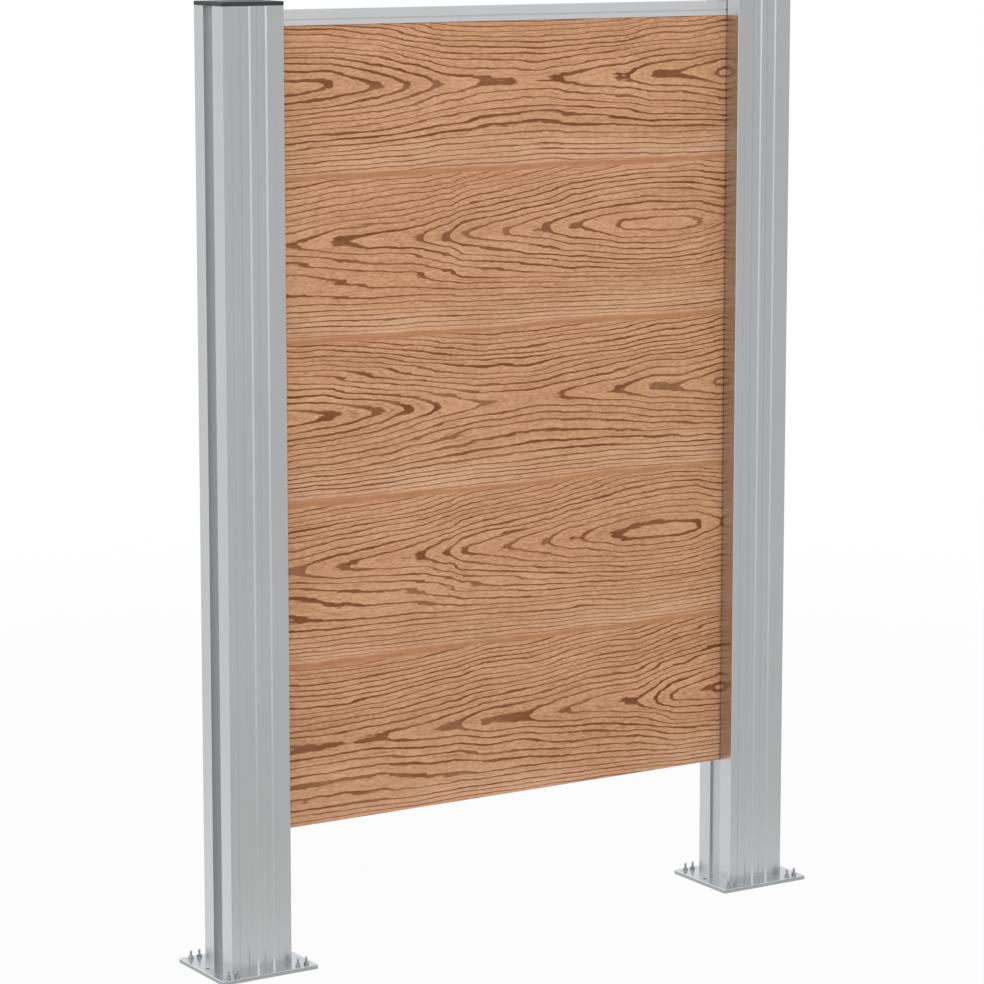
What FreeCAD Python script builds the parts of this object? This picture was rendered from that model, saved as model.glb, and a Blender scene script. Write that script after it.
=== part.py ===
# Bin screen: a wood-decor panel held between two extruded posts on base plates.
# Millimetres, +Z up, +X along the panel, the front towards -Y.
# The origin is on the floor, midway between the posts.
import FreeCAD
import Part
import Sketcher
import os

SIZES = (
    ("post_pitch", 900.0, "between the posts' centres"),
    ("post_width", 100.0, "post across its fluted face"),
    ("post_depth", 86.0, "post from front to back"),
    ("post_length", 1410.0, "post between base plate and end cap"),
    ("post_wall", 3.0, "wall of the hollow post"),
    ("post_corner_radius", 1.2, "rounding of the post's four corners"),
    ("slot_width", 27.0, "slot down each side of the post"),
    ("slot_depth", 10.0, "depth of that slot"),
    ("edge_band", 14.0, "lower band beside each corner of the fluted face"),
    ("edge_step", 0.4, "step between that band and the rest of the face"),
    ("flute_edge", 28.0, "from the post's side to its nearer flute"),
    ("flute_width", 17.4, "flute at its mouth"),
    ("flute_depth", 1.2, "depth of the flute"),
    ("flute_slope", 2.5, "run of the flute's sloping flank"),
    ("port_bore_radius", 2.6, "screw port inside the post"),
    ("port_wall", 2.4, "wall of the screw port"),
    ("plate_margin_side", 30.0, "base plate past the post's sides"),
    ("plate_margin_front", 27.0, "base plate past the post's front and back"),
    ("plate_thickness", 6.0, "base plate"),
    ("plate_corner_radius", 3.0, "rounding of the plate's corners"),
    ("plate_chamfer", 0.8, "bevel round the plate's top"),
    ("stud_diameter", 4.0, "anchor stud"),
    ("stud_free_length", 8.0, "stud above its nut"),
    ("stud_edge_side", 15.0, "outer stud from the plate's side edge"),
    ("stud_edge_front", 11.0, "studs from the plate's front or back edge"),
    ("stud_pair_gap", 14.0, "between the two studs of a corner"),
    ("nut_flats", 7.0, "nut across its flats"),
    ("nut_height", 3.2, "nut"),
    ("washer_diameter", 9.0, "washer"),
    ("washer_thickness", 0.8, "washer"),
    ("spare_hole_diameter", 6.5, "free hole at the middle of each plate's side"),
    ("spare_hole_edge", 11.5, "that hole from the plate's side edge"),
    ("screw_diameter", 5.0, "countersunk screw through the plate"),
    ("screw_head_diameter", 10.0, "its head"),
    ("screw_length", 30.0, "its length over all"),
    ("cap_thickness", 6.0, "end cap above the post"),
    ("cap_bevel", 0.8, "bevel round the cap's top"),
    ("plug_length", 18.0, "plug under the cap, inside the post"),
    ("plug_wall", 2.5, "wall of the plug"),
    ("panel_height", 1204.0, "panel, with the part inside the rail"),
    ("panel_thickness", 20.0, "panel"),
    ("panel_end_gap", 1.0, "panel's end from the slot's floor"),
    ("panel_arris", 0.6, "broken edge of the panel"),
    ("rail_height", 22.5, "top rail"),
    ("rail_wall", 2.0, "wall of the rail"),
    ("rail_lip", 7.0, "lower lip of the rail"),
    ("rail_groove", 2.5, "groove above the lip"),
    ("rail_groove_depth", 0.8, "depth of that groove"),
    ("filler_length", 196.0, "slot filler from base plate to panel"),
    ("filler_recess", 3.4, "filler's face from the slot's mouth"),
    ("filler_wall", 2.0, "wall of the filler"),
    ("gasket_recess", 2.5, "gasket from the slot's mouth"),
    ("gasket_width", 6.0, "gasket along the panel's face"),
    ("gasket_groove", 1.5, "groove between the gasket's two lips"),
    ("fit_gap", 0.2, "side clearance of pieces that slide together"),
)

doc = FreeCAD.newDocument("bin_screen")
sheet = doc.addObject("Spreadsheet::Sheet", "Dims")
for row, (alias, size, meaning) in enumerate(SIZES, start=1):
    sheet.set(f"A{row}", meaning)
    sheet.set(f"B{row}", str(size))
    sheet.setAlias(f"B{row}", alias)
doc.recompute()

# Places that several pieces share, as expressions on the sheet.
POST_HALF_WIDTH = "Dims.post_width / 2"
POST_HALF_DEPTH = "Dims.post_depth / 2"
SLOT_HALF = "Dims.slot_width / 2"
SLOT_FLOOR = f"{POST_HALF_WIDTH} - Dims.slot_depth"
POST_TOP = "Dims.plate_thickness + Dims.post_length"
PORT_RADIUS = "Dims.port_bore_radius + Dims.port_wall"
PORT_INSET = "(Dims.post_wall + Dims.port_bore_radius + Dims.port_wall / 2)"
PORT_X = f"{POST_HALF_WIDTH} - {PORT_INSET}"
PORT_Y = f"{POST_HALF_DEPTH} - {PORT_INSET}"
PLATE_HALF_X = f"{POST_HALF_WIDTH} + Dims.plate_margin_side"
PLATE_HALF_Y = f"{POST_HALF_DEPTH} + Dims.plate_margin_front"
STUD_OUTER_X = f"{PLATE_HALF_X} - Dims.stud_edge_side"
STUD_INNER_X = f"{STUD_OUTER_X} - Dims.stud_pair_gap"
STUD_Y = f"{PLATE_HALF_Y} - Dims.stud_edge_front"
STUD_RADIUS = "Dims.stud_diameter / 2"
STUD_HOLE_RADIUS = f"{STUD_RADIUS} + Dims.fit_gap"
NUT_SEAT = "Dims.plate_thickness + Dims.washer_thickness"
SPARE_HOLE_X = f"{PLATE_HALF_X} - Dims.spare_hole_edge"
PANEL_BOTTOM = "Dims.plate_thickness + Dims.filler_length"
PANEL_TOP = f"{PANEL_BOTTOM} + Dims.panel_height"
PANEL_HALF = "Dims.panel_thickness / 2"
PANEL_LENGTH = "Dims.post_pitch - Dims.post_width + 2 * (Dims.slot_depth - Dims.panel_end_gap)"
INNER_SLOT_FLOOR = f"Dims.post_pitch / 2 - {POST_HALF_WIDTH} + Dims.slot_depth"

ZERO = "0"

LEFT = -1
RIGHT = 1
SIDE_NAMES = {LEFT: "left", RIGHT: "right"}
FRONT = -1
REAR = 1
FACE_NAMES = {FRONT: "front", REAR: "rear"}
HALF_TURN = FreeCAD.Rotation(FreeCAD.Vector(0, 0, 1), 180)

TINY = 1e-4
ROUND_SIDES = 12
NUT_SIDES = 6
ORIGIN_POINT = (-1, 1)
START_INDEX = 1
END_INDEX = 2
CENTRE_INDEX = 3

subparts = []


def number(expression):
    return float(sheet.evalExpression(expression))


def signed(sign, expression):
    return f"{sign} * ({expression})"


def four_way(corners):
    # A closed outline, the same about both axes, from its corners in the first quarter.
    back = corners[::-1]
    quarters = ((corners, 1, 1), (back, -1, 1), (corners, -1, -1), (back, 1, -1))
    return [(signed(sx, x), signed(sy, y)) for quarter, sx, sy in quarters for x, y in quarter]


def two_way(corners):
    # A closed outline, the same to the left and right, from its right half.
    mirrored = [(signed(-1, x), y) for x, y in corners[::-1]]
    return corners + mirrored


def four_places(x, y):
    return [(signed(sx, x), signed(sy, y)) for sx in (-1, 1) for sy in (-1, 1)]


def place(item, x, y, z):
    for axis, expression in (("x", x), ("y", y), ("z", z)):
        item.setExpression(f"Placement.Base.{axis}", expression)


def new_body(label, x=ZERO, y=ZERO, z=ZERO, turned=False):
    body = doc.addObject("PartDesign::Body", label)
    body.Label = label
    if turned:
        body.Placement = FreeCAD.Placement(FreeCAD.Vector(), HALF_TURN)
    place(body, x, y, z)
    return body


def new_subpart(label, *spot, **settings):
    body = new_body(label, *spot, **settings)
    subparts.append(body)
    return body


def new_sketch(body, name, plane="XY_Plane"):
    sketch = body.newObject("Sketcher::SketchObject", f"{body.Name}_{name}")
    support = [feature for feature in body.Origin.OriginFeatures if feature.Role == plane]
    sketch.AttachmentSupport = [(support[0], "")]
    sketch.MapMode = "FlatFace"
    return sketch


def hold(sketch, points):
    # Ties points of the sketch to its origin, each by two driving distances.
    distances = []
    expressions = []
    for geometry, point, x, y in points:
        for kind, expression in (("DistanceX", x), ("DistanceY", y)):
            size = number(expression)
            distances.append(Sketcher.Constraint(kind, *ORIGIN_POINT, geometry, point, size))
            expressions.append(expression)
    places = sketch.addConstraint(distances)
    for place, expression in zip(places, expressions):
        sketch.setExpression(f"Constraints[{place}]", expression)


def draw_outline(sketch, corners):
    points = [FreeCAD.Vector(number(x), number(y), 0) for x, y in corners]
    sides = [Part.LineSegment(start, end) for start, end in zip(points, points[1:] + points[:1])]
    lines = list(sketch.addGeometry(sides))
    pairs = zip(lines, lines[1:] + lines[:1])
    for line, after in pairs:
        sketch.addConstraint(Sketcher.Constraint("Coincident", line, END_INDEX, after, START_INDEX))
    hold(sketch, [(line, START_INDEX, x, y) for line, (x, y) in zip(lines, corners)])


def draw_rectangle(sketch, half_x, half_y):
    draw_outline(sketch, four_way([(half_x, half_y)]))


def draw_circle(sketch, x, y, radius):
    centre = FreeCAD.Vector(number(x), number(y), 0)
    circle = sketch.addGeometry(Part.Circle(centre, FreeCAD.Vector(0, 0, 1), number(radius)))
    place = sketch.addConstraint(Sketcher.Constraint("Radius", circle, number(radius)))
    sketch.setExpression(f"Constraints[{place}]", radius)
    hold(sketch, [(circle, CENTRE_INDEX, x, y)])


def pad(body, sketch, length, name, downwards=False, symmetric=False):
    feature = body.newObject("PartDesign::Pad", f"{body.Name}_{name}")
    feature.Profile = sketch
    feature.Reversed = downwards
    if symmetric:
        feature.SideType = "Symmetric"
    feature.setExpression("Length", length)
    doc.recompute()
    return feature


def cut_through(body, sketch, name):
    before = body.Shape.Volume
    feature = body.newObject("PartDesign::Pocket", f"{body.Name}_{name}")
    feature.Profile = sketch
    feature.Type = "ThroughAll"
    feature.Reversed = True
    doc.recompute()
    if not body.Shape.Volume < before:
        raise RuntimeError(f"{body.Label}: {name} cuts nothing")
    return feature


def dress(body, kind, base, size_name, size, wanted):
    # Rounds or bevels the edges of a feature that the test picks.
    feature = body.newObject(f"PartDesign::{kind}", f"{body.Name}_{kind.lower()}_{len(body.Group)}")
    edges = enumerate(base.Shape.Edges, start=1)
    feature.Base = (base, [f"Edge{place}" for place, edge in edges if wanted(edge)])
    feature.setExpression(size_name, size)
    doc.recompute()
    return feature


def is_upright(edge):
    box = edge.BoundBox
    return box.XLength < TINY and box.YLength < TINY


def is_upright_at(edge, half_x, half_y):
    middle = edge.BoundBox.Center
    beside = abs(abs(middle.x) - half_x) < TINY and abs(abs(middle.y) - half_y) < TINY
    return beside and is_upright(edge)


def lies_at(edge, height):
    box = edge.BoundBox
    return abs(box.ZMin - height) < TINY and abs(box.ZMax - height) < TINY


def new_prism(name, spot, z, radius, height, sides=ROUND_SIDES):
    # The many small fasteners are prisms of few sides, which keeps the model light.
    prism = doc.addObject("Part::Prism", name)
    prism.Polygon = sides
    prism.setExpression("Circumradius", radius)
    prism.setExpression("Height", height)
    place(prism, *spot, z)
    return prism


def new_cone(name, spot, low_radius, high_radius, height):
    rims = []
    for end, radius, z in (("low", low_radius, ZERO), ("high", high_radius, height)):
        rim = doc.addObject("Part::RegularPolygon", f"{name}_{end}_rim")
        rim.Polygon = ROUND_SIDES
        rim.setExpression("Circumradius", radius)
        place(rim, *spot, z)
        rims.append(rim)
    cone = doc.addObject("Part::Loft", name)
    cone.Sections = rims
    cone.Solid = True
    cone.Ruled = True
    return cone


def join_two(kind, name, base, tool):
    result = doc.addObject(f"Part::{kind}", name)
    result.Base = base
    result.Tool = tool
    return result


def new_group(label, solids):
    group = doc.addObject("Part::Compound", label)
    group.Label = label
    group.Links = solids
    subparts.append(group)


def post_centre(side):
    return signed(side, "Dims.post_pitch / 2")


def post_profile():
    # The first quarter of the extrusion's outline, from the slot's floor round to the middle rib.
    flute_mouth = f"{POST_HALF_WIDTH} - Dims.flute_edge"
    flute_end = f"{flute_mouth} - Dims.flute_width"
    flute_floor = f"{POST_HALF_DEPTH} - Dims.flute_depth"
    band_end = f"{POST_HALF_WIDTH} - Dims.edge_band"
    band_face = f"{POST_HALF_DEPTH} - Dims.edge_step"
    return [
        (SLOT_FLOOR, SLOT_HALF),
        (POST_HALF_WIDTH, SLOT_HALF),
        (POST_HALF_WIDTH, band_face),
        (band_end, band_face),
        (band_end, POST_HALF_DEPTH),
        (flute_mouth, POST_HALF_DEPTH),
        (f"{flute_mouth} - Dims.flute_slope", flute_floor),
        (f"{flute_end} + Dims.flute_slope", flute_floor),
        (flute_end, POST_HALF_DEPTH),
    ]


def post_chamber():
    # The first quarter of the hollow inside, one wall in from the slot and the faces.
    inside_x = f"{POST_HALF_WIDTH} - Dims.post_wall"
    inside_y = f"{POST_HALF_DEPTH} - Dims.post_wall"
    beside_slot = f"{SLOT_HALF} + Dims.post_wall"
    return [
        (f"{SLOT_FLOOR} - Dims.post_wall", beside_slot),
        (inside_x, beside_slot),
        (inside_x, inside_y),
    ]


def make_post(side):
    body = new_subpart(f"{SIDE_NAMES[side]}_post", post_centre(side), z="Dims.plate_thickness")
    profile = new_sketch(body, "profile")
    draw_outline(profile, four_way(post_profile()))
    draw_outline(profile, four_way(post_chamber()))
    pad(body, profile, "Dims.post_length", "extrusion")
    ports = new_sketch(body, "ports")
    for x, y in four_places(PORT_X, PORT_Y):
        draw_circle(ports, x, y, PORT_RADIUS)
        draw_circle(ports, x, y, "Dims.port_bore_radius")
    walls = pad(body, ports, "Dims.post_length", "screw_ports")
    half_width = number(POST_HALF_WIDTH)
    band_face = number(f"{POST_HALF_DEPTH} - Dims.edge_step")
    dress(
        body, "Fillet", walls, "Radius", "Dims.post_corner_radius",
        lambda edge: is_upright_at(edge, half_width, band_face),
    )


def stud_places():
    return four_places(STUD_OUTER_X, STUD_Y) + four_places(STUD_INNER_X, STUD_Y)


def at_post(side, spots):
    return [(f"{post_centre(side)} + {x}", y) for x, y in spots]


def make_base_plate(side):
    # The anchor studs' holes have as many sides as the studs that stand in them.
    label = f"{SIDE_NAMES[side]}_base_plate"
    body = new_body(f"{label}_blank", post_centre(side))
    outline = new_sketch(body, "outline")
    draw_rectangle(outline, PLATE_HALF_X, PLATE_HALF_Y)
    slab = pad(body, outline, "Dims.plate_thickness", "slab")
    rounded = dress(body, "Fillet", slab, "Radius", "Dims.plate_corner_radius", is_upright)
    top = number("Dims.plate_thickness")
    dress(body, "Chamfer", rounded, "Size", "Dims.plate_chamfer", lambda edge: lies_at(edge, top))
    spare_holes = new_sketch(body, "spare_holes")
    for sign in (-1, 1):
        draw_circle(spare_holes, signed(sign, SPARE_HOLE_X), ZERO, "Dims.spare_hole_diameter / 2")
    cut_through(body, spare_holes, "spare_holes_cut")
    screw_holes = new_sketch(body, "screw_holes")
    for x, y in four_places(PORT_X, PORT_Y):
        draw_circle(screw_holes, x, y, "Dims.screw_diameter / 2 + Dims.fit_gap")
    doc.recompute()
    before = body.Shape.Volume
    sinks = body.newObject("PartDesign::Hole", f"{body.Name}_countersinks")
    sinks.Profile = screw_holes
    sinks.Reversed = True
    sinks.DepthType = "ThroughAll"
    sinks.setExpression("Diameter", "Dims.screw_diameter + 2 * Dims.fit_gap")
    sinks.HoleCutType = "Countersink"
    sinks.HoleCutCustomValues = True
    sinks.setExpression("HoleCutDiameter", "Dims.screw_head_diameter + 2 * Dims.fit_gap")
    sinks.HoleCutCountersinkAngle = 90
    doc.recompute()
    if not body.Shape.Volume < before:
        raise RuntimeError(f"{body.Label}: the countersinks cut nothing")
    cores = doc.addObject("Part::Compound", f"{label}_stud_holes")
    cores.Links = [
        new_prism(f"{label}_stud_hole_{count}", spot, ZERO, STUD_HOLE_RADIUS, "Dims.plate_thickness")
        for count, spot in enumerate(at_post(side, stud_places()), start=1)
    ]
    plate = join_two("Cut", label, body, cores)
    plate.Label = label
    subparts.append(plate)


def make_post_screws(side):
    label = f"{SIDE_NAMES[side]}_post_screws"
    shank_radius = "Dims.screw_diameter / 2"
    head_radius = "Dims.screw_head_diameter / 2"
    screws = []
    for count, spot in enumerate(at_post(side, four_places(PORT_X, PORT_Y)), start=1):
        name = f"{label}_{count}"
        shank = new_prism(f"{name}_shank", spot, ZERO, shank_radius, "Dims.screw_length")
        head = new_cone(f"{name}_head", spot, head_radius, shank_radius, f"{head_radius} - {shank_radius}")
        screws.append(join_two("Fuse", name, shank, head))
    new_group(label, screws)


def make_end_cap(side):
    body = new_subpart(f"{SIDE_NAMES[side]}_end_cap", post_centre(side), z=POST_TOP)
    outline = new_sketch(body, "outline")
    draw_rectangle(outline, POST_HALF_WIDTH, POST_HALF_DEPTH)
    lid = pad(body, outline, "Dims.cap_thickness", "lid")
    rounded = dress(body, "Fillet", lid, "Radius", "Dims.post_corner_radius", is_upright)
    top = number("Dims.cap_thickness")
    dress(body, "Chamfer", rounded, "Size", "Dims.cap_bevel", lambda edge: lies_at(edge, top))
    beside_slot = f"{SLOT_FLOOR} - Dims.post_wall"
    beside_port = f"{PORT_X} - {PORT_RADIUS}"
    plug_x = f"min({beside_slot}; {beside_port}) - Dims.fit_gap"
    plug_y = f"{POST_HALF_DEPTH} - Dims.post_wall - Dims.fit_gap"
    plug = new_sketch(body, "plug")
    draw_rectangle(plug, plug_x, plug_y)
    draw_rectangle(plug, f"{plug_x} - Dims.plug_wall", f"{plug_y} - Dims.plug_wall")
    pad(body, plug, "Dims.plug_length", "plug_walls", downwards=True)


def make_anchor_studs(side):
    label = f"{SIDE_NAMES[side]}_anchor_studs"
    length = f"{NUT_SEAT} + Dims.nut_height + Dims.stud_free_length"
    studs = []
    for count, spot in enumerate(at_post(side, stud_places()), start=1):
        studs.append(new_prism(f"{label}_{count}", spot, ZERO, STUD_RADIUS, length))
    new_group(label, studs)


def make_anchor_washers(side):
    label = f"{SIDE_NAMES[side]}_anchor_washers"
    seat = "Dims.plate_thickness"
    height = "Dims.washer_thickness"
    washers = []
    for count, spot in enumerate(at_post(side, stud_places()), start=1):
        name = f"{label}_{count}"
        disc = new_prism(f"{name}_disc", spot, seat, "Dims.washer_diameter / 2", height)
        bore = new_prism(f"{name}_bore", spot, seat, STUD_HOLE_RADIUS, height)
        washers.append(join_two("Cut", name, disc, bore))
    new_group(label, washers)


def make_anchor_nuts(side):
    label = f"{SIDE_NAMES[side]}_anchor_nuts"
    height = "Dims.nut_height"
    nuts = []
    for count, spot in enumerate(at_post(side, stud_places()), start=1):
        name = f"{label}_{count}"
        hexagon = new_prism(f"{name}_hex", spot, NUT_SEAT, "Dims.nut_flats / sqrt(3)", height, NUT_SIDES)
        bore = new_prism(f"{name}_bore", spot, NUT_SEAT, f"{STUD_RADIUS} + Dims.fit_gap / 2", height)
        nuts.append(join_two("Cut", name, hexagon, bore))
    new_group(label, nuts)


def make_panel():
    body = new_subpart("panel", z=PANEL_BOTTOM)
    outline = new_sketch(body, "outline")
    draw_rectangle(outline, f"({PANEL_LENGTH}) / 2", PANEL_HALF)
    board = pad(body, outline, "Dims.panel_height", "board")
    dress(body, "Chamfer", board, "Size", "Dims.panel_arris", lambda edge: True)


def make_top_rail():
    body = new_subpart("top_rail", z=PANEL_TOP)
    inner = f"{PANEL_HALF} + Dims.fit_gap"
    outer = f"{inner} + Dims.rail_wall"
    groove = f"{outer} - Dims.rail_groove_depth"
    foot = "Dims.rail_wall - Dims.rail_height"
    lip_top = f"{foot} + Dims.rail_lip"
    groove_top = f"{lip_top} + Dims.rail_groove"
    right_half = [
        (inner, ZERO),
        (inner, foot),
        (outer, foot),
        (outer, lip_top),
        (groove, lip_top),
        (groove, groove_top),
        (outer, groove_top),
        (outer, "Dims.rail_wall"),
    ]
    section = new_sketch(body, "section", "YZ_Plane")
    draw_outline(section, two_way(right_half))
    pad(body, section, PANEL_LENGTH, "channel", symmetric=True)


def make_slot_filler(side):
    # A channel that stands in the post's inner slot, its face towards the slot's mouth.
    body = new_subpart(
        f"{SIDE_NAMES[side]}_slot_filler", signed(side, INNER_SLOT_FLOOR),
        z="Dims.plate_thickness", turned=side == RIGHT,
    )
    face = "Dims.slot_depth - Dims.filler_recess"
    back = f"{face} - Dims.filler_wall"
    outside = f"{SLOT_HALF} - Dims.fit_gap"
    inside = f"{outside} - Dims.filler_wall"
    section = new_sketch(body, "section")
    upper_half = [(face, outside), (ZERO, outside), (ZERO, inside), (back, inside)]
    lower_half = [(x, signed(-1, y)) for x, y in upper_half[::-1]]
    draw_outline(section, upper_half + lower_half)
    pad(body, section, "Dims.filler_length", "channel")


def make_gasket(side, face):
    # A strip with two lips, squeezed between the slot's wall and the panel.
    turned = side == RIGHT
    body = new_subpart(
        f"{SIDE_NAMES[side]}_{FACE_NAMES[face]}_gasket", signed(side, INNER_SLOT_FLOOR),
        z=PANEL_BOTTOM, turned=turned,
    )
    across = -face if turned else face
    outer_end = "Dims.slot_depth - Dims.gasket_recess"
    inner_end = f"{outer_end} - Dims.gasket_width"
    lip = "(Dims.gasket_width - Dims.gasket_groove) / 2"
    groove_floor = f"({SLOT_HALF} + {PANEL_HALF}) / 2"
    corners = [
        (inner_end, SLOT_HALF),
        (outer_end, SLOT_HALF),
        (outer_end, PANEL_HALF),
        (f"{outer_end} - {lip}", PANEL_HALF),
        (f"{outer_end} - Dims.gasket_width / 2", groove_floor),
        (f"{inner_end} + {lip}", PANEL_HALF),
        (inner_end, PANEL_HALF),
    ]
    section = new_sketch(body, "section")
    draw_outline(section, [(x, signed(across, y)) for x, y in corners])
    pad(body, section, "Dims.panel_height + Dims.rail_wall - Dims.rail_height", "strip")


for side in (LEFT, RIGHT):
    make_post(side)
    make_base_plate(side)
    make_post_screws(side)
    make_end_cap(side)
    make_anchor_studs(side)
    make_anchor_washers(side)
    make_anchor_nuts(side)
    make_slot_filler(side)
    make_gasket(side, FRONT)
    make_gasket(side, REAR)
make_panel()
make_top_rail()
doc.recompute()

for item in doc.Objects:
    if "Invalid" in item.State or "Error" in item.State:
        raise RuntimeError(f"{item.Label} failed: {item.State}")
for body in subparts:
    if body.Shape.isNull() or not body.Shape.isValid():
        raise RuntimeError(f"{body.Label} has no valid shape")

os.makedirs("parts", exist_ok=True)
for body in subparts:
    body.Shape.exportStep(f"parts/{body.Label}.step")
    print(body.Label, len(body.Shape.Solids), "solids", round(body.Shape.Volume, 1), "mm3")
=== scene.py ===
import bmesh
import bpy
import math
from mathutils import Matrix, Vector


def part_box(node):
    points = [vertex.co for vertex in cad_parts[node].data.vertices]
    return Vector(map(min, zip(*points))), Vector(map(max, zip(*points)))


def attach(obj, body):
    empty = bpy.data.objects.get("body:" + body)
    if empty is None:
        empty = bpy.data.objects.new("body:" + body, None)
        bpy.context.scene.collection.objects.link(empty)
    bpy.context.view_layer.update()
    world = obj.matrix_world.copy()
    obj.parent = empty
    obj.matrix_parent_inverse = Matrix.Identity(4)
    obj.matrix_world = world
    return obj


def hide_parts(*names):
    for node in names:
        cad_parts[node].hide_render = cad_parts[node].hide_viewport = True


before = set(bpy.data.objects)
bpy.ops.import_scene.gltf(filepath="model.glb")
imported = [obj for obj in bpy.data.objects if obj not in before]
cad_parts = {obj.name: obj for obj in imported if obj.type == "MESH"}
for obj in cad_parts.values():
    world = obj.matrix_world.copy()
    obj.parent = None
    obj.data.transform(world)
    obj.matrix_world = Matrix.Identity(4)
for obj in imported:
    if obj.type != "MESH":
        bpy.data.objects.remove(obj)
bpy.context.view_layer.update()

SIDES = ("left", "right")
WHITE = (1.0, 1.0, 1.0, 1.0)

# The camera, at the photograph's viewing angle: metres, radians, and millimetres for its lens and sensor.
CAMERA_PLACE = Vector((-2.8900, -4.5389, 1.5929))
CAMERA_YAW = 0.5634
CAMERA_PITCH = 0.1474
CAMERA_LENS = 131.19
CAMERA_SHIFT = -0.0813
SENSOR_WIDTH = 36.0

# The studio, in metres: an even sky, one soft lamp and a white floor.
# Near the screen a small share of the floor is matt and takes the shadow. Further out it is all white.
SKY_LEVEL = 0.80
LAMP_PLACE = Vector((-1.5, -4.0, 3.5))
LAMP_TARGET = Vector((0.0, 0.0, 0.7))
LAMP_SIZE = 3.0
LAMP_POWER = 60.0
FLOOR_HALF = 40.0
FLOOR_MATT = 0.85
WHITE_SHARE = 0.93
SHADOW_FADE = (1.5, 4.0)

# The studio as metal mirrors it: one side is brighter, and both are brighter higher up behind the screen.
BRIGHT_SIDE = Vector((-1.0, 0.0, 0.0))
SIDE_SPAN = (-0.35, 0.15)
DIM = 0.66
BRIGHT = 0.88
HIGH_DIM = 0.78
HIGH_SPAN = (0.0, 0.2)
REAR_SPAN = (-0.3, 0.3)

# The floor as metal mirrors it, in metres: white under the screen and close behind it, and dim in front,
# with a glow that fades from the screen. Further out it has the studio's levels.
FRONT_EDGE = (0.04, 0.10)
REAR_EDGE = (0.40, 1.50)
GLOW_SHARE = 0.45
GLOW_FADE = (0.0, 0.6)
STUDIO_SPAN = (0.8, 3.0)

# The wood decor, in metres: rows of pointed figures, one above the other.
DECOR_SPAN = 0.8
DECOR_ROW = 0.241
ROW_SWAY = 0.006
FIGURE_LIFT = 0.008
EYE_LIFT = 0.016
FOOT_DROP = 0.010
FIGURE_BEND = 0.007
RING_PITCH_ABOVE = 0.0096
RING_PITCH_BELOW = 0.0086
RING_CROWDING = 0.80
CALM_SPAN = (0.020, 0.110)
CALM_SHARE = 0.75
FOOT_SPAN = (0.008, 0.022)
FOOT_FRAY = 0.008
PALE_SPAN = (0.010, 0.070)
STREAK_HALF = 0.0035
STREAK_TAPER = 0.004
STREAK_FRAY = 0.003
STREAK_SOFT = (-0.0025, 0.0025)
WOOD_RELIEF = 0.0003

# The decor's rings and lines, in rings.
TIP_BLUNTNESS = 1.4
DRIFT_SPAN = (0.5, 4.0)
INNER_EDGE = (0.0, 0.05)
OUTER_EDGE = (0.0, 0.10)
HAIRLINE_PLACE = 0.64
HAIRLINE_SPAN = (0.03, 0.11)
ROW_STRIDE = 37.0

# The ring that each row's middle line lies in, at places along the row in metres.
# Where it falls, figures point to the left. Where it rises, they point to the right.
ARROW_ROW = (
    (-0.400, 0.6), (-0.317, 1.0), (-0.300, 1.25), (-0.240, 2.0), (-0.222, 2.25),
    (-0.184, 3.0), (-0.171, 3.25), (-0.132, 4.0), (-0.120, 4.25), (-0.056, 5.0),
    (0.010, 5.25), (0.045, 5.4), (0.076, 5.25), (0.098, 5.0), (0.193, 4.25),
    (0.219, 4.0), (0.261, 3.25), (0.327, 3.0), (0.382, 2.25), (0.400, 2.0),
)
EYE_ROW = (
    (-0.400, 8.2), (-0.356, 8.0), (-0.304, 7.25), (-0.275, 7.0), (-0.164, 6.25), (-0.147, 6.0),
    (-0.116, 5.25), (-0.101, 5.0), (-0.084, 4.25), (-0.071, 4.0), (-0.010, 3.25), (0.004, 3.0),
    (0.060, 2.25), (0.078, 2.0), (0.110, 1.25), (0.135, 1.0), (0.190, 0.32), (0.208, 0.0),
    (0.245, -0.22), (0.310, -0.28), (0.352, 0.0), (0.362, 0.32), (0.400, 1.0),
)
FOOT_ROW = (
    (-0.400, 6.85), (-0.385, 7.0), (-0.310, 7.22), (-0.280, 7.3), (-0.250, 7.22), (-0.209, 7.0),
    (-0.115, 6.25), (-0.085, 6.0), (-0.044, 5.2), (0.038, 5.0), (0.092, 4.25), (0.115, 4.0),
    (0.215, 3.25), (0.245, 3.0), (0.280, 2.0), (0.308, 1.0), (0.397, 0.0),
)
LEAST_RING = -1.0
RING_SPREAD = 10.0

# Noises through the board: waves per metre along, into and up it.
FIBRE_WAVES = (40.0, 60.0, 330.0)
FLECK_WAVES = (110.0, 110.0, 520.0)

# Noises over the board's face: waves per metre along it, a layer of its own, and waves per metre up it.
SWAY_WAVES = (5.0, 3.0, 2.0)
FADE_WAVES = (7.0, 11.0, 90.0)
RAGGED_WAVES = (14.0, 5.0, 200.0)
CLOUD_WAVES = (3.5, 17.0, 16.0)

# Noises that differ from row to row: waves per metre along it, a step for each row, and waves per metre up.
# The taper doesn't change up the row, and ends with a layer of its own.
BEND_WAVES = (4.0, 7.3, 11.0)
RIPPLE_WAVES = (26.0, 3.1, 70.0)
BUNCH_WAVES = (2.0, 9.1, 42.0)
SWELL_WAVES = (6.0, 6.7, 55.0)
INK_WAVES = (5.0, 4.1, 38.0)
TAPER_WAVES = (3.0, 5.7, 23.0)

# The spans of a noise over which the lines swell, gain ink and get a hairline.
SWELL_SPAN = (0.35, 0.60)
INK_SPAN = (-0.40, 0.25)
HAIRLINE_FADE = (-0.05, 0.35)

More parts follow.
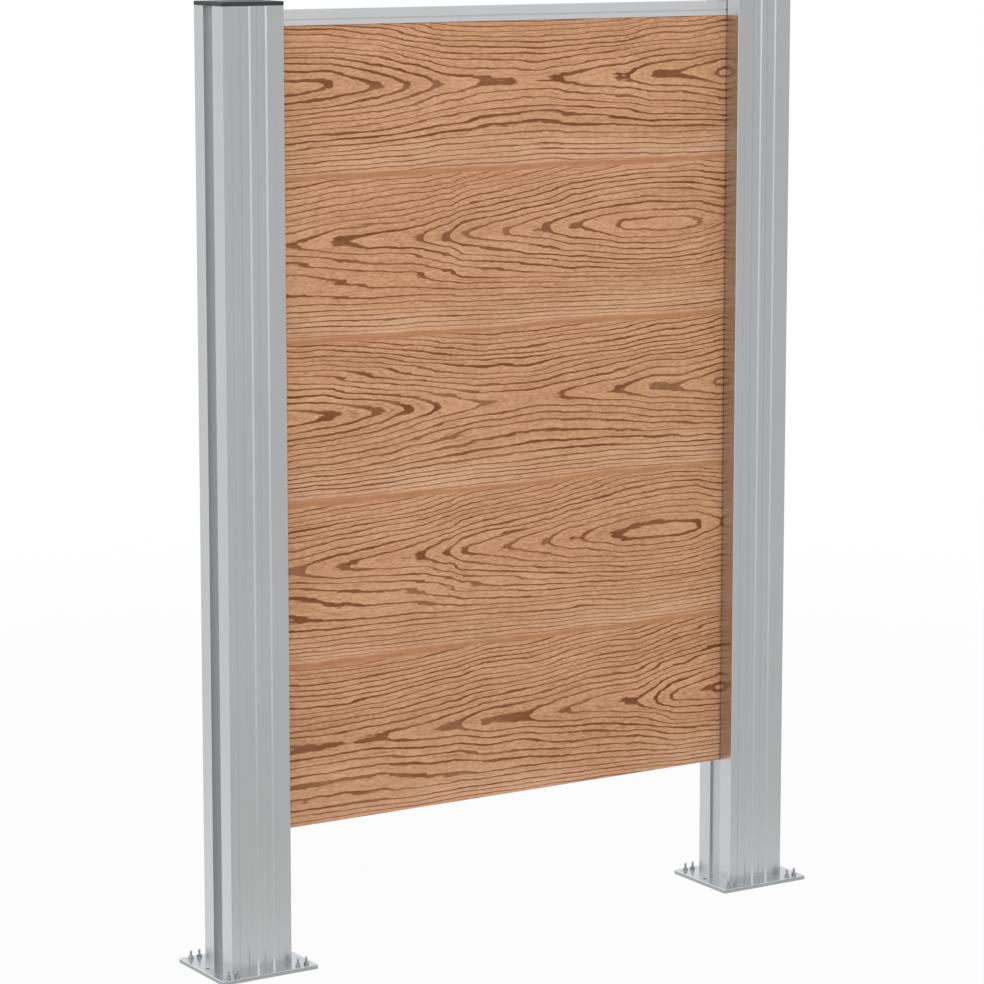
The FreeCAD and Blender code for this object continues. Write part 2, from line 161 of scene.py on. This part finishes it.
# The noises of the other finishes, in waves per metre.
DIE_LINES_ALONG = 2.0
DIE_LINES_ACROSS = 650.0
SATIN_WAVES = (9.0, 9.0, 4.0)
MOTTLE_WAVES = (60.0, 60.0, 60.0)
GRAIN_WAVES = (900.0, 900.0, 900.0)
ZINC_WAVES = (400.0, 400.0, 400.0)
SPARK_WAVES = (1600.0, 1600.0, 1600.0)
PLASTIC_WAVES = (40.0, 40.0, 40.0)
DUST_WAVES = (300.0, 300.0, 120.0)

# The colours as seen on a screen, each from one tone to another.
BOARD_TONES = ((171, 118, 79), (219, 169, 131))
PALE_TONE = (226, 186, 156)
STREAK_TONES = ((170, 117, 80), (192, 139, 99))
LINE_TONES = ((135, 82, 42), (117, 66, 28))
CORE_TONES = ((128, 92, 66), (158, 116, 85))
POST_TONES = ((199, 200, 201), (213, 214, 215))
RAIL_TONES = ((226, 227, 229), (240, 241, 243))
FILLER_TONES = ((188, 189, 191), (202, 203, 205))
# The painted shade in the top rail's groove.
GROOVE_SHADE_TONE = (120, 121, 126)
PLATE_TONES = ((222, 226, 230), (236, 240, 244))
# The plates' edges: darker than their tops by painted shade.
PLATE_EDGE_SHADE_TONES = ((158, 161, 161), (180, 183, 183))
FASTENER_TONES = ((172, 173, 175), (206, 206, 204))
CAP_TONES = ((40, 40, 42), (50, 50, 52))
GASKET_TONES = ((66, 66, 67), (88, 88, 88))

# How rough the finishes are, and how glossy the wood is.
# The plates' edges are rougher than their tops by a step.
WOOD_ROUGHNESS = 0.55
WOOD_GLOSS = 0.25
POST_ROUGHNESS = 0.32
RAIL_ROUGHNESS = 0.34
FILLER_ROUGHNESS = 0.36
PLATE_ROUGHNESS = 0.26
PLATE_EDGE_STEP = 0.12
FASTENER_ROUGHNESS = 0.28
CAP_ROUGHNESS = 0.48
GASKET_ROUGHNESS = 0.75

# The depth of fine relief in metres, and how squarely a face must look along an axis to count as facing it.
FINE_RELIEF = 0.0001
FACE_ON = 0.5

# The groove along the top rail, in metres, and how much painted shade darkens it.
RAIL_LIP = 0.007
RAIL_GROOVE = 0.0025
GROOVE_SHADE = 0.22

# The small fasteners, in metres.
STUD_RADIUS = 0.002
STUD_THREAD_PITCH = 0.0007
STUD_THREAD_DEPTH = 0.00035
STUD_EDGE_SIDE = 0.015
STUD_EDGE_FRONT = 0.011
STUD_PAIR_GAP = 0.014
NUT_FLATS = 0.007
NUT_BORE = 0.0018
WASHER_RADIUS = 0.0045
WASHER_BORE = 0.0022
WASHER_EDGE = 0.0002
SCREW_INSET = 0.0068
SCREW_HEAD_RADIUS = 0.005
SCREW_RADIUS = 0.0025
SCREW_THREAD_PITCH = 0.0012
SCREW_THREAD_DEPTH = 0.0006
SCREW_TIP = 0.003
SOCKET_FLATS = 0.003
SOCKET_DEPTH = 0.0016
MERGE_WITHIN = 1e-6
CUT_WITHIN = 1e-7

# The fasteners' other values: shares of a thread's pitch and of a nut's half width, angles, and sides.
THREAD_FOOT = 0.25
THREAD_CREST = (0.44, 0.56)
NUT_RIM = 0.95
NUT_BEVEL = math.radians(30)
HEXAGON = 6
HEXAGON_TURN = math.tau / HEXAGON
STUD_SIDES = 20
NUT_SIDES = 36
WASHER_SIDES = 32
SCREW_SIDES = 36


def tone(red, green, blue):
    """A colour as it is seen on a screen, 0 to 255, as the linear colour of a socket."""
    shares = [part / 255 for part in (red, green, blue)]
    linear = [s / 12.92 if s <= 0.04045 else ((s + 0.055) / 1.055) ** 2.4 for s in shares]
    return (*linear, 1.0)


def grey(level):
    return (level, level, level, 1.0)


class Value:
    """A socket of a finish: arithmetic on it adds Math nodes."""

    def __init__(self, finish, socket):
        self.finish = finish
        self.socket = socket

    def maths(self, operation, *terms):
        return self.finish.add("ShaderNodeMath", {"operation": operation}, dict(enumerate(terms)))

    def __add__(self, other):
        return self.maths("ADD", self, other)

    def __sub__(self, other):
        return self.maths("SUBTRACT", self, other)

    def __rsub__(self, other):
        return self.maths("SUBTRACT", other, self)

    def __mul__(self, other):
        return self.maths("MULTIPLY", self, other)

    def __truediv__(self, other):
        return self.maths("DIVIDE", self, other)

    def __rtruediv__(self, other):
        return self.maths("DIVIDE", other, self)

    def __gt__(self, other):
        return self.maths("GREATER_THAN", self, other)

    def __lt__(self, other):
        return self.maths("LESS_THAN", self, other)

    def __abs__(self):
        return self.maths("ABSOLUTE", self)

    __radd__ = __add__
    __rmul__ = __mul__

    def floor(self):
        return self.maths("FLOOR", self)

    def fract(self):
        return self.maths("FRACT", self)

    def lower(self, other):
        return self.maths("MINIMUM", self, other)

    def root(self):
        return self.maths("SQRT", self)


class Finish:
    """The nodes of a surface, or of the sky."""

    def __init__(self, tree):
        self.tree = tree

    def add(self, kind, settings, inputs, output=0):
        """A new node: its settings first, then the values or links of its sockets."""
        node = self.tree.nodes.new(kind)
        for name, setting in settings.items():
            if name == "stops":
                self.set_stops(node.color_ramp, setting)
            else:
                setattr(node, name, setting)
        for name, value in inputs.items():
            self.feed(node.inputs[name], value)
        return Value(self, node.outputs[output])

    def set_stops(self, ramp, stops):
        """Gives a ramp its stops, with a smooth curve through them."""
        ramp.interpolation = "CARDINAL"
        while len(ramp.elements) < len(stops):
            ramp.elements.new(1.0)
        for element, (position, colour) in zip(ramp.elements, stops):
            element.position = position
            element.color = colour

    def feed(self, socket, value):
        if isinstance(value, Value):
            self.tree.links.new(value.socket, socket)
        else:
            socket.default_value = value

    def surface(self, **sockets):
        """Sets the main shader's sockets: Base_Color for Base Color."""
        shader = self.tree.nodes["Principled BSDF"]
        for name, value in sockets.items():
            self.feed(shader.inputs[name.replace("_", " ")], value)

    def place(self):
        return self.add("ShaderNodeTexCoord", {}, {}, "Object")

    def part(self, vector, axis):
        return self.add("ShaderNodeSeparateXYZ", {}, {0: vector}, axis)

    def coordinates(self):
        place = self.place()
        return [self.part(place, axis) for axis in "XYZ"]

    def facing(self, axis):
        """How squarely the surface looks along an axis, either way."""
        normal = self.add("ShaderNodeNewGeometry", {}, {}, "Normal")
        return abs(self.part(normal, axis))

    def ray(self, kind):
        """1 where the surface is seen by this kind of ray, else 0."""
        return self.add("ShaderNodeLightPath", {}, {}, kind)

    def noise(self, place, waves, detail=2.0):
        """Soft noise between about -1 and 1, at three values times their waves."""
        spot = {axis: value * count for axis, value, count in zip("XYZ", place, waves)}
        vector = self.add("ShaderNodeCombineXYZ", {}, spot)
        inputs = {"Vector": vector, "Scale": 1.0, "Detail": detail}
        return self.add("ShaderNodeTexNoise", {}, inputs) * 2.0 - 1.0

    def chance(self, value):
        """One even random number, 0 to 1, for each value."""
        return self.add("ShaderNodeTexWhiteNoise", {"noise_dimensions": "1D"}, {"W": value})

    def curve(self, value, stops):
        return self.add("ShaderNodeValToRGB", {"stops": stops}, {"Fac": value})

    def mix(self, share, first, second):
        """A colour between two. The node's colour sockets go by number, as their names are used twice."""
        settings = {"data_type": "RGBA"}
        return self.add("ShaderNodeMix", settings, {0: share, 6: first, 7: second}, 2)

    def tint(self, share, tones):
        """A colour between two tones."""
        first, second = tones
        return self.mix(share, tone(*first), tone(*second))

    def between(self, value, low, high):
        """0 below low, 1 above high, smooth in between."""
        settings = {"interpolation_type": "SMOOTHSTEP"}
        inputs = {"Value": value, "From Min": low, "From Max": high}
        return self.add("ShaderNodeMapRange", settings, inputs)

    def bump(self, height, strength, distance=FINE_RELIEF):
        inputs = {"Height": height, "Strength": strength, "Distance": distance}
        return self.add("ShaderNodeBump", {}, inputs)


# In the sums of the finishes, the factor beside a noise is the share that it adds.


def middle_ring(finish, along, places):
    """The row's ring numbers as a smooth curve along the row."""
    stops = []
    for spot, ring in places:
        stops.append((spot / DECOR_SPAN + 0.5, grey((ring - LEAST_RING) / RING_SPREAD)))
    return finish.curve(along, stops)


def wood_decor(finish):
    """Flat-sawn wood, with dark ring edges that close into tips and eyes along each row."""
    x, y, z = finish.coordinates()
    over_face = (x, 1.0, z)
    sway = finish.noise(over_face, SWAY_WAVES)
    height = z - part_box("panel")[0].z + sway * ROW_SWAY
    row = (height / DECOR_ROW).floor()
    share = (height / DECOR_ROW).fract()
    over_row = (x, row, z)

    fibre = finish.noise((x, y, z), FIBRE_WAVES, detail=3.0)
    fleck = finish.noise((x, y, z), FLECK_WAVES)
    fade = finish.noise(over_face, FADE_WAVES)
    ragged = finish.noise(over_face, RAGGED_WAVES)
    cloud = finish.noise(over_face, CLOUD_WAVES)
    bend = finish.noise(over_row, BEND_WAVES)
    ripple = finish.noise(over_row, RIPPLE_WAVES)
    bunch = finish.noise(over_row, BUNCH_WAVES)
    swell = finish.between(finish.noise(over_row, SWELL_WAVES), *SWELL_SPAN)
    ink = finish.between(finish.noise(over_row, INK_WAVES), *INK_SPAN)
    taper = finish.noise((x, row, 1.0), TAPER_WAVES)

    # Rows of arrows and rows with an eye take turns, and the lowest row is one of its own.
    is_eye = (row * 0.5).fract() > 0.25
    is_foot = row < 0.5
    along = x / DECOR_SPAN + 0.5
    arrows, eyes, foot = [middle_ring(finish, along, places) for places in (ARROW_ROW, EYE_ROW, FOOT_ROW)]
    figure = finish.mix(is_foot, finish.mix(is_eye, arrows, eyes), foot)
    heart = figure * RING_SPREAD + LEAST_RING

    # The rings: their number grows upwards and downwards from the row's middle line.
    lift = FIGURE_LIFT + is_eye * EYE_LIFT - is_foot * FOOT_DROP
    across = (share - 0.5) * DECOR_ROW - lift + bend * FIGURE_BEND
    pitch = RING_PITCH_BELOW + (across > 0.0) * (RING_PITCH_ABOVE - RING_PITCH_BELOW)
    steps = across / pitch * (1.0 + abs(across) / RING_CROWDING)
    calm = 1.0 - finish.between(0.0 - across, *CALM_SPAN) * CALM_SHARE
    spread = (steps * steps + TIP_BLUNTNESS ** 2).root() - TIP_BLUNTNESS
    drift = (bend * 0.5 + bunch * 0.9) * finish.between(abs(steps), *DRIFT_SPAN)
    rings = heart * calm + spread + drift + ripple * 0.26
    within = rings.fract()
    luck = finish.chance(rings.floor() + row * ROW_STRIDE)

    # The dark lines, one from each ring's inner edge, and paler hairlines further out.
    breadth = 0.15 + luck * 0.12 + fade * 0.13 + fibre * 0.22 + swell * 0.30
    inner_edge = finish.between(within, *INNER_EDGE)
    outer_edge = 1.0 - finish.between(within - breadth, *OUTER_EDGE)
    foot_zone = 1.0 - finish.between(share * DECOR_ROW + fade * FOOT_FRAY, *FOOT_SPAN)
    line = inner_edge * outer_edge * (0.72 + ink * 0.28) * (1.0 - foot_zone * 0.25)
    hairline = 1.0 - finish.between(abs(within - HAIRLINE_PLACE), *HAIRLINE_SPAN)
    hairline = hairline * finish.between(fade - bunch * 0.4, *HAIRLINE_FADE) * 0.34

    # The plain streaks where two rows meet.
    border = share.lower(1.0 - share) * DECOR_ROW
    beyond = border - STREAK_HALF - taper * STREAK_TAPER + ragged * STREAK_FRAY
    streak = (1.0 - finish.between(beyond, *STREAK_SOFT)) * (height > DECOR_ROW / 2)

    # The colours, with a paler zone at each row's foot.
    paleness = 0.50 + within * 0.10 + cloud * 0.30 + fibre * 0.55 + fleck * 0.70
    pale_zone = (1.0 - finish.between(share * DECOR_ROW, *PALE_SPAN)) * (0.25 + cloud * 0.35)
    marks = (line + hairline).lower(1.0) * (1.0 - streak)
    board = finish.mix(pale_zone, finish.tint(paleness, BOARD_TONES), tone(*PALE_TONE))
    board = finish.mix(streak, board, finish.tint(0.5 + fibre * 0.7, STREAK_TONES))
    board = finish.mix(marks, board, finish.tint(luck, LINE_TONES))
    core = finish.tint(0.5 + fibre * 0.5, CORE_TONES)
    is_face = finish.facing("Y") > FACE_ON
    finish.surface(
        Base_Color=finish.mix(is_face, core, board),
        Roughness=WOOD_ROUGHNESS + fibre * 0.06 + line * 0.08,
        Specular_IOR_Level=WOOD_GLOSS,
        Normal=finish.bump(fibre * 0.4 - line, strength=0.12, distance=WOOD_RELIEF),
    )


def aluminium(finish, tones, roughness, lengthwise, groove=None):
    """Satin anodised extrusion, with faint die lines along its length and, on the rail, painted shade in
    its groove.
    """
    x, y, z = finish.coordinates()
    waves = [DIE_LINES_ALONG if axis == lengthwise else DIE_LINES_ACROSS for axis in "XYZ"]
    lines = finish.noise((x, y, z), waves, detail=3.0)
    cloud = finish.noise((x, y, z), SATIN_WAVES)
    colour = finish.tint(0.5 + lines * 0.35 + cloud * 0.25, tones)
    if groove:
        # Painted shade: the colour darkens inside the rail's groove, where shade falls.
        inside = (z > groove[0]) * (z < groove[1])
        colour = finish.mix(inside * GROOVE_SHADE, colour, tone(*GROOVE_SHADE_TONE))
    finish.surface(
        Base_Color=colour,
        Roughness=roughness + lines * 0.05 + cloud * 0.04,
        Metallic=1.0,
        Normal=finish.bump(lines, strength=0.06),
    )


def plate_metal(finish):
    """Polished plate with a faint mottle, and duller sawn edges: rougher, and darker by painted shade."""
    place = finish.coordinates()
    mottle = finish.noise(place, MOTTLE_WAVES, detail=4.0)
    grain = finish.noise(place, GRAIN_WAVES)
    is_edge = finish.facing("Z") < FACE_ON
    top = finish.tint(0.5 + mottle * 0.4, PLATE_TONES)
    # Painted shade: the edges take a darker colour than the top.
    edge = finish.tint(0.5 + grain * 0.4, PLATE_EDGE_SHADE_TONES)
    finish.surface(
        Base_Color=finish.mix(is_edge, top, edge),
        Roughness=PLATE_ROUGHNESS + mottle * 0.04 + grain * 0.02 + is_edge * PLATE_EDGE_STEP,
        Metallic=1.0,
        Normal=finish.bump(grain, strength=0.04),
    )


def fastener_steel(finish):
    """Zinc-coated steel, slightly clouded."""
    cloud = finish.noise(finish.coordinates(), ZINC_WAVES, detail=3.0)
    finish.surface(
        Base_Color=finish.tint(0.5 + cloud * 0.5, FASTENER_TONES),
        Roughness=FASTENER_ROUGHNESS + cloud * 0.06,
        Metallic=1.0,
        Normal=finish.bump(cloud, strength=0.08),
    )


def cap_plastic(finish):
    """Black moulded plastic with a fine spark texture."""
    place = finish.coordinates()
    spark = finish.noise(place, SPARK_WAVES, detail=3.0)
    cloud = finish.noise(place, PLASTIC_WAVES)
    finish.surface(
        Base_Color=finish.tint(0.5 + cloud * 0.5, CAP_TONES),
        Roughness=CAP_ROUGHNESS + spark * 0.06 + cloud * 0.05,
        Normal=finish.bump(spark, strength=0.25),
    )


def gasket_rubber(finish):
    """Matt black rubber with a little dust."""
    dust = finish.noise(finish.coordinates(), DUST_WAVES, detail=3.0)
    finish.surface(
        Base_Color=finish.tint(0.5 + dust * 0.5, GASKET_TONES),
        Roughness=GASKET_ROUGHNESS + dust * 0.1,
        Normal=finish.bump(dust, strength=0.1),
    )


def new_material(name, recipe, *details):
    material = bpy.data.materials.new(name)
    material.use_nodes = True
    recipe(Finish(material.node_tree), *details)
    return material


groove_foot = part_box("top_rail")[0].z + RAIL_LIP
groove = (groove_foot, groove_foot + RAIL_GROOVE)
recipes = {
    "wood_decor": (wood_decor,),
    "post_aluminium": (aluminium, POST_TONES, POST_ROUGHNESS, "Z"),
    "rail_aluminium": (aluminium, RAIL_TONES, RAIL_ROUGHNESS, "X", groove),
    "filler_aluminium": (aluminium, FILLER_TONES, FILLER_ROUGHNESS, "Z"),
    "plate_metal": (plate_metal,),
    "fastener_steel": (fastener_steel,),
    "cap_plastic": (cap_plastic,),
    "gasket_rubber": (gasket_rubber,),
}
materials = {name: new_material(name, *recipe) for name, recipe in recipes.items()}


def dress(node, material):
    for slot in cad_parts[node].material_slots:
        slot.material = materials[material]


def dress_frame():
    dress("panel", "wood_decor")
    dress("top_rail", "rail_aluminium")
    for side in SIDES:
        dress(f"{side}_post", "post_aluminium")
        dress(f"{side}_base_plate", "plate_metal")
        dress(f"{side}_end_cap", "cap_plastic")
        dress(f"{side}_slot_filler", "filler_aluminium")
        for face in ("front", "rear"):
            dress(f"{side}_{face}_gasket", "gasket_rubber")


def add_object(name, data):
    item = bpy.data.objects.new(name, data)
    bpy.context.scene.collection.objects.link(item)
    return item


def turn(mesh, profile, sides, closed=True):
    """Spins an outline of (radius, height) points round the Z axis. A closed outline makes a ring."""
    corners = [mesh.verts.new((radius, 0.0, height)) for radius, height in profile]
    pairs = list(zip(corners, corners[1:]))
    if closed:
        pairs.append((corners[-1], corners[0]))
    edges = [mesh.edges.new(pair) for pair in pairs]
    bmesh.ops.spin(
        mesh,
        geom=corners + edges,
        cent=(0.0, 0.0, 0.0),
        axis=(0.0, 0.0, 1.0),
        angle=math.tau,
        steps=sides,
        use_merge=True,
    )
    bmesh.ops.remove_doubles(mesh, verts=mesh.verts, dist=MERGE_WITHIN)
    bmesh.ops.recalc_face_normals(mesh, faces=mesh.faces)


def thread_rings(start, count, radius, depth, pitch):
    """The outline of a thread, with its turns as rings."""
    points = []
    for ring in range(count):
        foot = start + pitch * (ring + THREAD_FOOT)
        points.append((radius - depth, foot))
        points += [(radius, foot + pitch * share) for share in THREAD_CREST]
    return points


def shape_stud(mesh, bottom, top):
    """A threaded stud with a bevelled end."""
    root = STUD_RADIUS - STUD_THREAD_DEPTH
    count = int((top - bottom - STUD_THREAD_PITCH) / STUD_THREAD_PITCH)
    profile = [(0.0, bottom), (root, bottom)]
    profile += thread_rings(bottom, count, STUD_RADIUS, STUD_THREAD_DEPTH, STUD_THREAD_PITCH)
    profile += [(root, top - STUD_THREAD_DEPTH), (root - STUD_THREAD_DEPTH, top), (0.0, top)]
    turn(mesh, profile, STUD_SIDES, closed=False)


def shape_nut(mesh, bottom, top):
    """A hexagon nut: a turned blank with bevelled rims, cut by the six flats."""
    corner = NUT_FLATS / math.sqrt(3)
    rim = NUT_FLATS / 2 * NUT_RIM
    bevel = (corner - rim) * math.tan(NUT_BEVEL)
    profile = [
        (NUT_BORE, bottom), (rim, bottom), (corner, bottom + bevel),
        (corner, top - bevel), (rim, top), (NUT_BORE, top),
    ]
    turn(mesh, profile, NUT_SIDES)
    for flat in range(HEXAGON):
        angle = HEXAGON_TURN * (flat + 0.5)
        outwards = Vector((math.cos(angle), math.sin(angle), 0.0))
        cut = bmesh.ops.bisect_plane(
            mesh,
            geom=mesh.verts[:] + mesh.edges[:] + mesh.faces[:],
            dist=CUT_WITHIN,
            plane_co=outwards * NUT_FLATS / 2,
            plane_no=outwards,
            clear_outer=True,
        )
        rim_edges = [item for item in cut["geom_cut"] if isinstance(item, bmesh.types.BMEdge)]
        bmesh.ops.edgeloop_fill(mesh, edges=rim_edges)
    bmesh.ops.recalc_face_normals(mesh, faces=mesh.faces)


def shape_washer(mesh, bottom, top):
    """A stamped washer with softened rims."""
    rim = WASHER_RADIUS - WASHER_EDGE
    profile = [
        (WASHER_BORE, bottom), (rim, bottom), (WASHER_RADIUS, bottom + WASHER_EDGE),
        (WASHER_RADIUS, top - WASHER_EDGE), (rim, top),
        (WASHER_BORE + WASHER_EDGE, top), (WASHER_BORE, top - WASHER_EDGE),
    ]
    turn(mesh, profile, WASHER_SIDES)


def open_edges(mesh):
    return [edge for edge in mesh.edges if edge.is_boundary]


def shape_screw(mesh, bottom, top):
    """A threaded countersunk screw, head down, with a six-sided socket."""
    root = SCREW_RADIUS - SCREW_THREAD_DEPTH
    neck = bottom + SCREW_HEAD_RADIUS - SCREW_RADIUS
    count = int((top - neck - SCREW_TIP) / SCREW_THREAD_PITCH)
    profile = [(SOCKET_FLATS / 2, bottom), (SCREW_HEAD_RADIUS, bottom), (SCREW_RADIUS, neck)]
    profile += thread_rings(neck, count, SCREW_RADIUS, SCREW_THREAD_DEPTH, SCREW_THREAD_PITCH)
    profile += [(root, top - SCREW_TIP), (0.0, top)]
    turn(mesh, profile, SCREW_SIDES, closed=False)
    rim = open_edges(mesh)
    for corner in {vert for edge in rim for vert in edge.verts}:
        angle = math.atan2(corner.co.y, corner.co.x) % HEXAGON_TURN - HEXAGON_TURN / 2
        corner.co.xy *= 1 / math.cos(angle)
    walls = bmesh.ops.extrude_edge_only(mesh, edges=rim)["geom"]
    floor_corners = [item for item in walls if isinstance(item, bmesh.types.BMVert)]
    bmesh.ops.translate(mesh, verts=floor_corners, vec=(0.0, 0.0, SOCKET_DEPTH))
    bmesh.ops.edgeloop_fill(mesh, edges=open_edges(mesh))
    bmesh.ops.recalc_face_normals(mesh, faces=mesh.faces)


def screw_places(side):
    low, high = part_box(f"{side}_post")
    columns = (low.x + SCREW_INSET, high.x - SCREW_INSET)
    rows = (low.y + SCREW_INSET, high.y - SCREW_INSET)
    return [(x, y) for x in columns for y in rows]


def stud_places(side):
    low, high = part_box(f"{side}_base_plate")
    from_sides = (STUD_EDGE_SIDE, STUD_EDGE_SIDE + STUD_PAIR_GAP)
    columns = [low.x + inset for inset in from_sides] + [high.x - inset for inset in from_sides]
    rows = (low.y + STUD_EDGE_FRONT, high.y - STUD_EDGE_FRONT)
    return [(x, y) for x in columns for y in rows]


def set_fasteners(node, shape, places):
    """One piece of like fasteners, in place of the plain ones of the frame."""
    low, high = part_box(node)
    group = bmesh.new()
    for x, y in places:
        single = bmesh.new()
        shape(single, low.z, high.z)
        bmesh.ops.translate(single, verts=single.verts, vec=(x, y, 0.0))
        copy = bpy.data.meshes.new("copy")
        single.to_mesh(copy)
        single.free()
        group.from_mesh(copy)
        bpy.data.meshes.remove(copy)
    mesh = bpy.data.meshes.new(f"{node}_detail")
    group.to_mesh(mesh)
    group.free()
    mesh.materials.append(materials["fastener_steel"])
    piece = add_object(f"{node}_detail", mesh)
    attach(piece, "root")
    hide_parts(node)


def studio_level(finish, direction, rise):
    """How bright the studio is in reflections, by direction and by rise above the horizon."""
    terms = {0: direction, 1: BRIGHT_SIDE}
    sideways = finish.add("ShaderNodeVectorMath", {"operation": "DOT_PRODUCT"}, terms, "Value")
    side = finish.between(sideways, *SIDE_SPAN)
    rear = finish.between(finish.part(direction, "Y"), *REAR_SPAN)
    low = finish.mix(side, grey(DIM), grey(BRIGHT))
    high = finish.mix(side, grey(HIGH_DIM), WHITE)
    return finish.mix(finish.between(rise, *HIGH_SPAN) * rear, low, high)


def floor_level(finish, place, distance):
    """How bright the floor is in reflections, by place and by distance from the screen's middle."""
    behind = finish.part(place, "Y")
    in_front = finish.between(0.0 - behind, *FRONT_EDGE)
    screen = 1.0 - in_front - finish.between(behind, *REAR_EDGE)
    glow = (1.0 - finish.between(abs(behind), *GLOW_FADE)) * GLOW_SHARE
    near = finish.mix(in_front, grey(BRIGHT), grey(DIM))
    outwards = finish.add("ShaderNodeVectorMath", {"operation": "NORMALIZE"}, {0: place}, "Vector")
    far = studio_level(finish, outwards, 0.0)
    level = finish.mix(finish.between(distance, *STUDIO_SPAN), near, far)
    return finish.mix((screen + glow).lower(1.0), level, WHITE)


def floor_finish(finish):
    """White for the camera, its own levels in reflections, and a matt share that takes the shadow."""
    camera = finish.ray("Is Camera Ray")
    seen = (camera + finish.ray("Is Glossy Ray") + finish.ray("Is Transmission Ray")).lower(1.0)
    place = finish.place()
    distance = finish.add("ShaderNodeVectorMath", {"operation": "LENGTH"}, {0: place}, "Value")
    white = finish.mix(camera, floor_level(finish, place, distance), WHITE)
    share = WHITE_SHARE + finish.between(distance, *SHADOW_FADE) * (1 - WHITE_SHARE)
    matt = finish.add("ShaderNodeBsdfDiffuse", {}, {"Color": grey(FLOOR_MATT)})
    shine = finish.add("ShaderNodeEmission", {}, {"Color": white, "Strength": 1.0})
    blend = finish.add("ShaderNodeMixShader", {}, {0: seen * share, 1: matt, 2: shine})
    finish.feed(finish.tree.nodes["Material Output"].inputs["Surface"], blend)


def lay_floor():
    mesh = bpy.data.meshes.new("floor")
    shape = bmesh.new()
    bmesh.ops.create_grid(shape, x_segments=1, y_segments=1, size=FLOOR_HALF)
    shape.to_mesh(mesh)
    shape.free()
    floor = add_object("floor", mesh)
    mesh.materials.append(new_material("floor", floor_finish))


def make_sky():
    """An even light for matt surfaces, the studio's levels in reflections, and white for the camera."""
    world = bpy.data.worlds.new("studio")
    world.use_nodes = True
    bpy.context.scene.world = world
    finish = Finish(world.node_tree)
    direction = finish.add("ShaderNodeTexCoord", {}, {}, "Generated")
    mirrored = studio_level(finish, direction, finish.part(direction, "Z"))
    light = finish.mix(finish.ray("Is Glossy Ray"), grey(SKY_LEVEL), mirrored)
    background = world.node_tree.nodes["Background"]
    finish.feed(background.inputs["Color"], finish.mix(finish.ray("Is Camera Ray"), light, WHITE))
    background.inputs["Strength"].default_value = 1.0


def hang_lamp():
    lamp = bpy.data.lights.new("front_softbox", "AREA")
    lamp.shape = "SQUARE"
    lamp.size = LAMP_SIZE
    lamp.energy = LAMP_POWER
    item = add_object("front_softbox", lamp)
    item.location = LAMP_PLACE
    item.rotation_euler = (LAMP_TARGET - LAMP_PLACE).to_track_quat("-Z", "Y").to_euler()


def set_camera():
    camera = bpy.data.cameras.new("camera")
    camera.sensor_width = SENSOR_WIDTH
    camera.lens = CAMERA_LENS
    camera.shift_y = CAMERA_SHIFT
    item = add_object("camera", camera)
    item.location = CAMERA_PLACE
    item.rotation_euler = (math.pi / 2 - CAMERA_PITCH, 0.0, -CAMERA_YAW)
    bpy.context.scene.camera = item


set_camera()
make_sky()
hang_lamp()
lay_floor()
dress_frame()
for side in SIDES:
    set_fasteners(f"{side}_anchor_studs", shape_stud, stud_places(side))
    set_fasteners(f"{side}_anchor_nuts", shape_nut, stud_places(side))
    set_fasteners(f"{side}_anchor_washers", shape_washer, stud_places(side))
    set_fasteners(f"{side}_post_screws", shape_screw, screw_places(side))
bpy.context.scene.view_settings.view_transform = "Standard"
